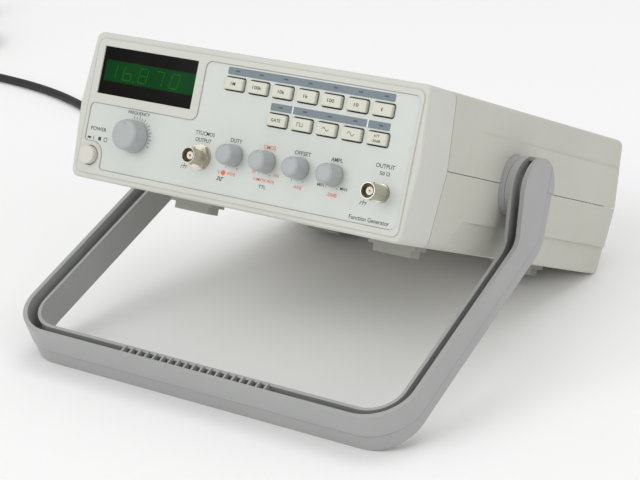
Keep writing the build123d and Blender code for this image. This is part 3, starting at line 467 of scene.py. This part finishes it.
def circuit_board(name):
    """Green solder mask over copper tracks."""
    graph = Graph(name)
    tracks = graph.add("ShaderNodeTexBrick", {"Vector": graph.place, "Scale": 60.0,
                                              "Mortar Size": 0.02}).outputs["Fac"]
    tint = graph.blend(tracks, linear(18, 74, 40), linear(52, 116, 62))
    speck = graph.spread(graph.noise(0.004, 3.0), 0.35, 0.65, 0.0, 1.0)
    tint = graph.blend(speck, tint, linear(24, 84, 46))
    graph.shade(Base_Color=tint, Roughness=graph.spread(speck, 0.0, 1.0, 0.25, 0.4),
                Normal=graph.bump(tracks, 0.00004))
    return graph.material


def laminated_iron(name):
    """Varnished transformer stack, its laminations showing as fine lines."""
    graph = Graph(name)
    sheets = graph.waves(UPWARD, 0.0007)
    rust = graph.spread(graph.noise(0.008, 4.0), 0.4, 0.7, 0.0, 1.0)
    tint = graph.blend(rust, linear(70, 68, 66), linear(96, 78, 60))
    graph.shade(Base_Color=tint, Metallic=0.6,
                Roughness=graph.spread(rust, 0.0, 1.0, 0.4, 0.7),
                Normal=graph.bump(sheets, 0.00005))
    return graph.material


def studio_floor(name):
    """Plain white floor, very slightly clouded."""
    graph = Graph(name)
    cloud = graph.blotches(1.5, 2.0)
    graph.shade(Base_Color=graph.blend(cloud, (0.975, 0.975, 0.975), (0.985, 0.985, 0.985)),
                Roughness=0.8, Specular_IOR_Level=0.1)
    return graph.material


MATERIALS = {
    "bezel": moulded_plastic("bezel_plastic", linear(207, 208, 200),
                             roughness=0.42, grain=0.0008, depth=0.000012),
    "cover": moulded_plastic("cover_plastic", linear(200, 199, 189),
                             roughness=0.5, grain=0.0009, depth=0.00003),
    "handle": handle_plastic("handle_plastic", linear(168, 169, 168)),
    "foot": moulded_plastic("foot_plastic", linear(174, 175, 167),
                            roughness=0.5, grain=0.0008, depth=0.00002),
    "button": moulded_plastic("button_plastic", linear(212, 212, 198),
                              roughness=0.38, grain=0.0005, depth=0.000006, mottle=0.015),
    "power_button": moulded_plastic("power_button_plastic", linear(212, 212, 202),
                                    roughness=0.4, grain=0.0006, depth=0.000008, mottle=0.02),
    "knob": moulded_plastic("knob_plastic", linear(172, 176, 177),
                            roughness=0.3, grain=0.0006, depth=0.00001),
    "black": moulded_plastic("black_plastic", linear(34, 34, 34),
                             roughness=0.4, grain=0.0007, depth=0.00002, mottle=0.1),
    "module": moulded_plastic("display_body", linear(40, 62, 44),
                              roughness=0.3, grain=0.0007, depth=0.00001, mottle=0.1),
    "white": moulded_plastic("insulator_white", linear(238, 236, 230),
                             roughness=0.3, grain=0.0005, depth=0.000004, mottle=0.02),
    "panel": printed_panel("panel_film", linear(207, 212, 206)),
    "window": display_filter("display_filter"),
    "segment": glowing_segment("display_segment"),
    "nickel": turned_metal("nickel_plate", linear(200, 196, 182), roughness=0.28),
    "gold": turned_metal("gold_plate", linear(214, 158, 72), roughness=0.25),
    "aluminium": turned_metal("spindle_metal", linear(196, 197, 198), roughness=0.32),
    "fins": sheet_metal("heat_sink_metal", linear(190, 192, 194), metallic=1.0, roughness=0.38),
    "steel": sheet_metal("plated_steel", linear(184, 182, 172), metallic=1.0, roughness=0.35),
    "rear": sheet_metal("rear_paint", linear(200, 199, 190), metallic=0.0, roughness=0.5),
    "board": circuit_board("solder_mask"),
    "iron": laminated_iron("transformer_iron"),
    "jacket": flexible_jacket("cord_jacket", linear(24, 24, 25)),
    "plug": pinned_plug("plug_moulding", linear(26, 26, 27), linear(200, 196, 186)),
    "ink_and_painted_shade": ink_and_painted_shade("dark_ink", linear(74, 78, 82)),
    # black print; the same material paints the shade lines round the button holes
    "black_ink_and_painted_shade": ink_and_painted_shade("black_ink_and_painted_shade", linear(50, 52, 54)),
    "orange_ink": ink_and_painted_shade("orange_ink", linear(238, 104, 62)),
    "bar_ink": ink_and_painted_shade("blue_grey_ink", linear(120, 132, 140)),
    "shadow_line": ink_and_painted_shade("shadow_line", linear(170, 170, 161)),
    "lamp_ink": ink_and_painted_shade("lamp_window", linear(78, 88, 98)),
    "white_ink": ink_and_painted_shade("white_ink", linear(232, 234, 232)),
}

NODE_MATERIALS = [
    ("front_bezel", "bezel"), ("front_panel", "panel"), ("display_window", "window"),
    ("display_module", "module"), ("upper_cover", "cover"), ("lower_cover", "cover"),
    ("rear_panel", "rear"), ("rear_screws", "steel"), ("foot_", "foot"), ("main_board", "board"),
    ("front_board", "board"), ("transformer", "iron"), ("heat_sink", "fins"),
    ("range_switch_bank", "black"), ("function_switch_bank", "black"), ("power_switch", "black"),
    ("range_button", "button"), ("function_button", "button"), ("power_button", "power_button"),
    ("pot_bank", "steel"), ("frequency_spindle", "aluminium"), ("pull_spindle", "aluminium"),
    ("frequency_knob", "knob"), ("pull_knob", "knob"), ("power_inlet", "black"),
    ("fuse_drawer", "black"), ("handle", "handle"), ("hub_", "handle"),
    ("mains_connector", "jacket"), ("mains_cord", "jacket"), ("mains_plug", "plug"),
    ("bnc_", "nickel"), ("rear_bnc_", "nickel"),
]
SOCKET_PARTS = (("_insulator", "white"), ("_contact", "gold"))


def dress_nodes():
    """Gives every CAD node its finish."""
    for name, node in frame["nodes"].items():
        key = next(key for start, key in NODE_MATERIALS if name.startswith(start))
        for end, part_key in SOCKET_PARTS:
            if name.endswith(end):
                key = part_key
        for slot in node.material_slots:
            slot.material = MATERIALS[key]
        if not node.material_slots:
            node.data.materials.append(MATERIALS[key])


# ---------------------------------------------------------------- printed marks and painted shade lines
def rounded_rectangle(x0, x1, z0, z1, corner):
    """Its outline's points, anticlockwise from the lower right corner."""
    points = []
    for x, z, start in ((x1 - corner, z0 + corner, 270), (x1 - corner, z1 - corner, 0),
                        (x0 + corner, z1 - corner, 90), (x0 + corner, z0 + corner, 180)):
        for step in range(5):
            angle = math.radians(start + 22.5 * step)
            points.append((x + corner * math.cos(angle), z + corner * math.sin(angle)))
    return points


def circle(x, z, radius):
    """Its outline's points, anticlockwise from the right."""
    angles = [2 * math.pi * step / CIRCLE_STEPS for step in range(CIRCLE_STEPS)]
    return [(x + radius * math.cos(angle), z + radius * math.sin(angle)) for angle in angles]


class FaceMarks:
    """Marks on one face of the instrument, printed ones and painted shade lines, gathered into
    one thin mesh.
    """

    def __init__(self, surface_y):
        self.front = surface_y - MARK_THICK
        self.back = surface_y + MARK_SINK
        self.mesh = bmesh.new()

    def polygon(self, points):
        """A filled outline's thin slab, the outline given as x and z."""
        front = [self.mesh.verts.new((x, self.front, z)) for x, z in points]
        back = [self.mesh.verts.new((x, self.back, z)) for x, z in points]
        self.mesh.faces.new(front)
        self.mesh.faces.new(list(reversed(back)))
        for index in range(len(points)):
            after = (index + 1) % len(points)
            self.mesh.faces.new((front[index], back[index], back[after], front[after]))

    def bar(self, x0, x1, z0, z1, corner=0.0):
        """A filled rectangle, with rounded corners if they have a radius."""
        if corner:
            self.polygon(rounded_rectangle(x0, x1, z0, z1, corner))
        else:
            self.polygon([(x0, z0), (x1, z0), (x1, z1), (x0, z1)])

    def disc(self, x, z, radius):
        self.polygon(circle(x, z, radius))

    def stroke(self, points, width):
        """A drawn line, one overlapping bar for each straight piece."""
        for (x0, z0), (x1, z1) in zip(points, points[1:]):
            run = math.hypot(x1 - x0, z1 - z0)
            along_x = (x1 - x0) / run * width / 2
            along_z = (z1 - z0) / run * width / 2
            self.polygon([(x0 - along_x + along_z, z0 - along_z - along_x),
                          (x1 + along_x + along_z, z1 + along_z - along_x),
                          (x1 + along_x - along_z, z1 + along_z + along_x),
                          (x0 - along_x - along_z, z0 - along_z + along_x)])

    def loop(self, x0, x1, z0, z1, corner, width):
        """A rectangle's outline with rounded corners."""
        points = rounded_rectangle(x0, x1, z0, z1, corner)
        self.stroke(points + points[:1], width)

    def ring(self, x, z, radius, width):
        points = circle(x, z, radius)
        self.stroke(points + points[:1], width)

    def text(self, body, x, z, width, height):
        """Plain lettering centred on a point, stretched to a width and a capital height."""
        curve = bpy.data.curves.new("lettering", "FONT")
        curve.body = body
        curve.resolution_u = 3
        curve.fill_mode = "FRONT"
        curve.offset = LETTER_WEIGHT
        letters = bpy.data.objects.new("lettering", curve)
        collection.objects.link(letters)
        bpy.context.view_layer.update()
        flat = bpy.data.meshes.new_from_object(letters.evaluated_get(
            bpy.context.evaluated_depsgraph_get()))
        low_x = min(vertex.co.x for vertex in flat.vertices)
        high_x = max(vertex.co.x for vertex in flat.vertices)
        low_y = min(vertex.co.y for vertex in flat.vertices)
        high_y = max(vertex.co.y for vertex in flat.vertices)
        for vertex in flat.vertices:
            along = (vertex.co.x - (low_x + high_x) / 2) * width / (high_x - low_x)
            up = (vertex.co.y - (low_y + high_y) / 2) * height / (high_y - low_y)
            vertex.co = (x + along, self.front, z + up)
        letter_mesh = bmesh.new()
        letter_mesh.from_mesh(flat)
        solid = bmesh.ops.extrude_face_region(letter_mesh, geom=letter_mesh.faces[:])
        moved = [part for part in solid["geom"] if isinstance(part, bmesh.types.BMVert)]
        bmesh.ops.translate(letter_mesh, verts=moved, vec=(0.0, self.back - self.front, 0.0))
        letter_mesh.to_mesh(flat)
        letter_mesh.free()
        self.mesh.from_mesh(flat)
        bpy.data.objects.remove(letters)
        bpy.data.curves.remove(curve)
        bpy.data.meshes.remove(flat)

    def finish(self, name, material, body="case"):
        """Turns the marks into a piece that rides on a body."""
        bmesh.ops.transform(self.mesh, matrix=CASE @ Matrix.Scale(MM, 4), verts=self.mesh.verts)
        bmesh.ops.recalc_face_normals(self.mesh, faces=self.mesh.faces)
        mesh = bpy.data.meshes.new(name)
        self.mesh.to_mesh(mesh)
        self.mesh.free()
        mesh.materials.append(MATERIALS[material])
        piece = bpy.data.objects.new(name, mesh)
        collection.objects.link(piece)
        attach(piece, body)


def print_names():
    """Control names in grey and their second functions in orange."""
    grey = FaceMarks(PANEL_Y)
    for body, x, z, width, height in (
            ("FREQUENCY", FREQUENCY_X, 46.0, 17.0, 2.3), ("POWER", -109.8, 32.0, 12.4, 2.4),
            ("TTL/CMOS", -27.7, 41.6, 14.4, 2.4), ("OUTPUT", -28.1, 37.4, 12.0, 2.4),
            ("DUTY", -3.8, 40.8, 8.5, 2.4), ("OFFSET", 44.9, 40.8, 11.5, 2.4),
            ("AMPL", 69.2, 40.8, 8.0, 2.4), ("OUTPUT", 102.4, 42.4, 12.8, 2.5),
            ("50 Ω", 102.9, 38.2, 6.8, 2.3), ("TTL", 20.8, 16.6, 5.3, 2.1),
            ("MIN", 61.2, 24.8, 4.6, 1.8), ("MAX", 77.6, 24.8, 5.2, 1.8),
            ("Function Generator", 98.3, 10.2, 27.6, 2.6)):
        grey.text(body, x, z, width, height)
    grey.finish("panel_names", "ink_and_painted_shade")
    orange = FaceMarks(PANEL_Y)
    for body, x, z, width, height in (
            ("CMOS", 21.0, 40.6, 8.9, 2.4), ("ADJ", -3.5, 20.3, 6.0, 2.2),
            ("V", -12.4, 20.3, 2.0, 2.2), ("5V", 13.2, 24.8, 2.9, 1.8),
            ("15V", 29.5, 24.8, 4.1, 1.8), ("CMOS ADJ", 20.9, 20.4, 15.0, 2.2),
            ("ADJ", 45.4, 20.3, 5.5, 2.2), ("-20dB", 69.9, 20.2, 7.4, 2.2)):
        orange.text(body, x, z, width, height)
    orange.disc(-9.1, 20.4, 1.6)
    orange.finish("panel_second_names", "orange_ink")


def print_symbols():
    """Knob scales, end dots, earth signs, the power key's signs and a pulse."""
    marks = FaceMarks(PANEL_Y)
    for tick in range(SCALE_TICKS):
        angle = math.radians(SCALE_START - tick * SCALE_SWEEP / (SCALE_TICKS - 1))
        outer = SCALE_LONG if tick % 2 == 0 else SCALE_SHORT
        ends = [(FREQUENCY_X + radius * math.cos(angle), KNOB_Z + radius * math.sin(angle))
                for radius in (SCALE_INNER, outer)]
        marks.stroke(ends, MARK_LINE)
    for x in PULL_KNOBS_X:
        for side in (-1, 1):
            marks.disc(x + side * END_DOT_X, KNOB_Z + END_DOT_Z, END_DOT_RADIUS)
    for x, z in EARTH_SIGNS:
        draw_earth_sign(marks, x, z)
    draw_power_signs(marks)
    marks.stroke([(-13.0, 15.6), (-12.2, 15.6), (-12.2, 17.4), (-10.9, 17.4),
                  (-10.9, 15.6), (-9.6, 15.6), (-9.6, 17.4), (-8.4, 17.4)], 0.5)
    marks.finish("panel_symbols", "black_ink_and_painted_shade")


def draw_earth_sign(marks, x, z):
    """Frame earth: a stub, a bar and three slanted strokes."""
    width = 0.32
    bar_z = z + 0.4
    marks.stroke([(x - 2.0, bar_z), (x + 2.0, bar_z)], width)
    marks.stroke([(x, bar_z), (x, z + 1.7)], width)
    for step in (-1, 0, 1):
        marks.stroke([(x + 1.8 * step, bar_z), (x + 1.8 * step - 0.8, z - 1.2)], width)


def draw_power_signs(marks):
    """A bar and a stroke for on, a block and a ring for off."""
    marks.bar(-117.3, -114.7, 25.3, 26.6)
    marks.stroke([(-112.6, 24.8), (-112.6, 27.0)], 0.4)
    marks.bar(-108.7, -106.5, 24.9, 27.2)
    marks.ring(-102.9, 26.0, 1.25, 0.35)


def button_x(count, index):
    return BUTTON_LAST_X - (count - 1 - index) * BUTTON_PITCH


def button_places(range_z, function_z):
    """The middle of each push button, or of what stands over it, as x and z."""
    rows = ((RANGE_BUTTONS, range_z), (FUNCTION_BUTTONS, function_z))
    return [(button_x(count, index), z) for count, z in rows for index in range(count)]


def shade_button_gaps():
    """Painted shade: dark lines on the edges of the button holes, for the shade in the gap where
    the case's inside shows.
    """
    gaps = FaceMarks(PANEL_Y)
    for x, z in button_places(RANGE_ROW_Z, FUNCTION_ROW_Z):
        gaps.loop(x - HOLE_HALF_X, x + HOLE_HALF_X, z - HOLE_HALF_Z, z + HOLE_HALF_Z,
                  HOLE_CORNER, HOLE_LINE)
    gaps.finish("button_gap_painted_shade", "black_ink_and_painted_shade")


def shade_bezel_step():
    """The shadow line along the raised lip round the front panel."""
    painted_shade_line = FaceMarks(BEZEL_Y)
    painted_shade_line.loop(*LIP_X, *LIP_Z, LIP_CORNER, LIP_LINE)
    painted_shade_line.finish("bezel_step_line", "shadow_line")


def print_bars():
    """The two coloured bars over the push buttons, with their lamp windows."""
    bars = FaceMarks(PANEL_Y)
    for bar in BUTTON_BARS:
        bars.bar(*bar, BAR_CORNER)
    bars.finish("panel_bars", "bar_ink")
    on_bars = PANEL_Y - MARK_THICK / 2
    gaps = FaceMarks(on_bars)
    for x in BAR_GAPS_X:
        gaps.bar(x - BAR_GAP / 2, x + BAR_GAP / 2, *BUTTON_BARS[1][2:])
    gaps.finish("panel_bar_gaps", "white_ink")
    lamps = FaceMarks(on_bars)
    for x, z in button_places(RANGE_LAMPS_Z, FUNCTION_LAMPS_Z):
        lamps.bar(x - LAMP_HALF_X, x + LAMP_HALF_X, z - LAMP_HALF_Z, z + LAMP_HALF_Z,
                  LAMP_CORNER)
    lamps.finish("panel_lamps", "lamp_ink")


# A figure's segments, lettered clockwise from the top one, with g across the middle, and each
# segment's ends in half widths and half heights.
SEGMENTS = {"1": "bc", "6": "cdefg", "8": "abcdefg", "7": "abc", "0": "abcdef"}
SEGMENT_ENDS = {"a": ((-1, 1), (1, 1)), "b": ((1, 1), (1, 0)), "c": ((1, 0), (1, -1)),
                "d": ((-1, -1), (1, -1)), "e": ((-1, 0), (-1, -1)), "f": ((-1, 1), (-1, 0)),
                "g": ((-1, 0), (1, 0))}


def segment_outline(segment):
    """A pointed bar, drawn upright about the figure's middle."""
    start, end = [Vector((u * FIGURE_HALF_WIDTH, v * FIGURE_HALF_HEIGHT))
                  for u, v in SEGMENT_ENDS[segment]]
    run = (end - start).normalized()
    tip = run * SEGMENT_HALF_THICK
    side = Vector((-run.y, run.x)) * SEGMENT_HALF_THICK
    start += run * SEGMENT_INSET
    end -= run * SEGMENT_INSET
    return [start - tip, start - side, end - side, end + tip, end + side, start + side]


def light_digits():
    """Slanted seven-segment figures on the green band's face, with one decimal point."""
    digits = FaceMarks(WINDOW_Y)
    for index, figure in enumerate(FIGURES):
        centre = FIRST_FIGURE_X + FIGURE_PITCH * index
        for segment in SEGMENTS[figure]:
            digits.polygon([(centre + place.x + place.y * FIGURE_SLANT, FIGURE_Z + place.y)
                            for place in segment_outline(segment)])
    digits.disc(POINT_X, FIGURE_Z - FIGURE_HALF_HEIGHT, POINT_RADIUS)
    digits.finish("display_figures", "segment")


def name_range_buttons():
    """Each button's step of frequency, riding on its own button."""
    for index, body in enumerate(("1M", "100k", "10k", "1k", "100", "10", "1")):
        legend = FaceMarks(CAP_Y)
        width = LEGEND_LONE_ONE if body == "1" else LEGEND_PER_LETTER * len(body)
        legend.text(body, button_x(RANGE_BUTTONS, index), RANGE_ROW_Z, width, LEGEND_HEIGHT)
        name = f"range_button_{index + 1}"
        legend.finish(f"range_legend_{index + 1}", "black_ink_and_painted_shade", name)


def name_function_buttons():
    """Words or a wave's shape, riding on its own button."""
    square = [(-2.4, -1.0), (-2.4, 1.0), (-0.4, 1.0), (-0.4, -1.0), (1.6, -1.0), (1.6, 1.0)]
    triangle = [(-2.4, 0.0), (-1.2, 1.2), (1.2, -1.2), (2.4, 0.0)]
    sine = [(0.3 * step - 2.4, 1.1 * math.sin(math.pi * step / 8)) for step in range(17)]
    waves = {1: square, 2: triangle, 3: sine}
    words = {0: [("GATE", 0.0, 6.9, LEGEND_HEIGHT)],
             4: [("ATT", 1.5, 4.0, 1.5), ("-20dB", -1.4, 6.2, 1.5)]}
    for index in range(FUNCTION_BUTTONS):
        x = button_x(FUNCTION_BUTTONS, index)
        legend = FaceMarks(CAP_Y)
        for body, up, width, height in words.get(index, []):
            legend.text(body, x, FUNCTION_ROW_Z + up, width, height)
        if index in waves:
            legend.stroke([(x + u, FUNCTION_ROW_Z + v) for u, v in waves[index]], MARK_LINE)
        name = f"function_button_{index + 1}"
        legend.finish(f"function_legend_{index + 1}", "black_ink_and_painted_shade", name)


# ---------------------------------------------------------------- mains lead
def coil_points():
    """Two turns in along the floor, a step up, two turns out, and a rise to the plug."""
    inner = COIL_RADIUS - COIL_PITCH * COIL_TURNS
    low = CORD_ROUTE[-1][2]
    layer = 360.0 * COIL_TURNS
    total = 2 * layer + COIL_CLIMB
    count = round(total / 360.0 * POINTS_PER_TURN)
    points = []
    for index in range(1, count + 1):
        turned = total * index / count
        if turned <= layer:
            radius = COIL_RADIUS - COIL_PITCH * turned / 360.0
            height = low
        elif turned <= layer + COIL_CLIMB:
            radius = inner
            height = low + COIL_PITCH * (turned - layer) / COIL_CLIMB
        else:
            radius = inner + COIL_PITCH * (turned - layer - COIL_CLIMB) / 360.0
            height = low + COIL_PITCH
        rise = max(0.0, 1.0 - (total - turned) / PLUG_RISE)
        height += (PLUG_Z - low - COIL_PITCH) * rise * rise * (3.0 - 2.0 * rise)
        angle = math.radians(-90.0 - turned)
        points.append((COIL_CENTRE.x + radius * math.cos(angle),
                       COIL_CENTRE.y + radius * math.sin(angle), height))
    return points


def lay_cord():
    """The lead from its relief at the inlet, along the floor, round the coil and to the plug."""
    start = in_case(INLET_X, RELIEF_BACK, INLET_Z)
    ahead = in_case(INLET_X, RELIEF_BACK + FIRST_RUN, INLET_Z)
    plug_entry = (COIL_CENTRE.x - COIL_RADIUS, COIL_CENTRE.y + PLUG_RELIEF_Y, PLUG_Z)
    points = [start, ahead] + CORD_ROUTE + coil_points() + [plug_entry]
    curve = bpy.data.curves.new("mains_lead", "CURVE")
    curve.dimensions = "3D"
    curve.bevel_depth = CORD_DIAMETER / 2
    curve.bevel_resolution = 5
    curve.resolution_u = 8
    curve.use_fill_caps = True
    spline = curve.splines.new("NURBS")
    spline.points.add(len(points) - 1)
    for point, place in zip(spline.points, points):
        point.co = (*place, 1.0)
    spline.order_u = 3
    spline.use_endpoint_u = True
    curve.materials.append(MATERIALS["jacket"])
    lead = bpy.data.objects.new("mains_lead", curve)
    collection.objects.link(lead)
    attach(lead, "case")
    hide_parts("mains_cord", "mains_cord_coil")


bpy.context.scene.view_settings.view_transform = "Standard"
add_camera()
lay_cord()
add_floor(studio_floor("floor"))
add_world()
for light in LIGHTS:
    add_area_light(*light)
dress_nodes()
print_names()
print_symbols()
print_bars()
shade_button_gaps()
shade_bezel_step()
light_digits()
name_range_buttons()
name_function_buttons()
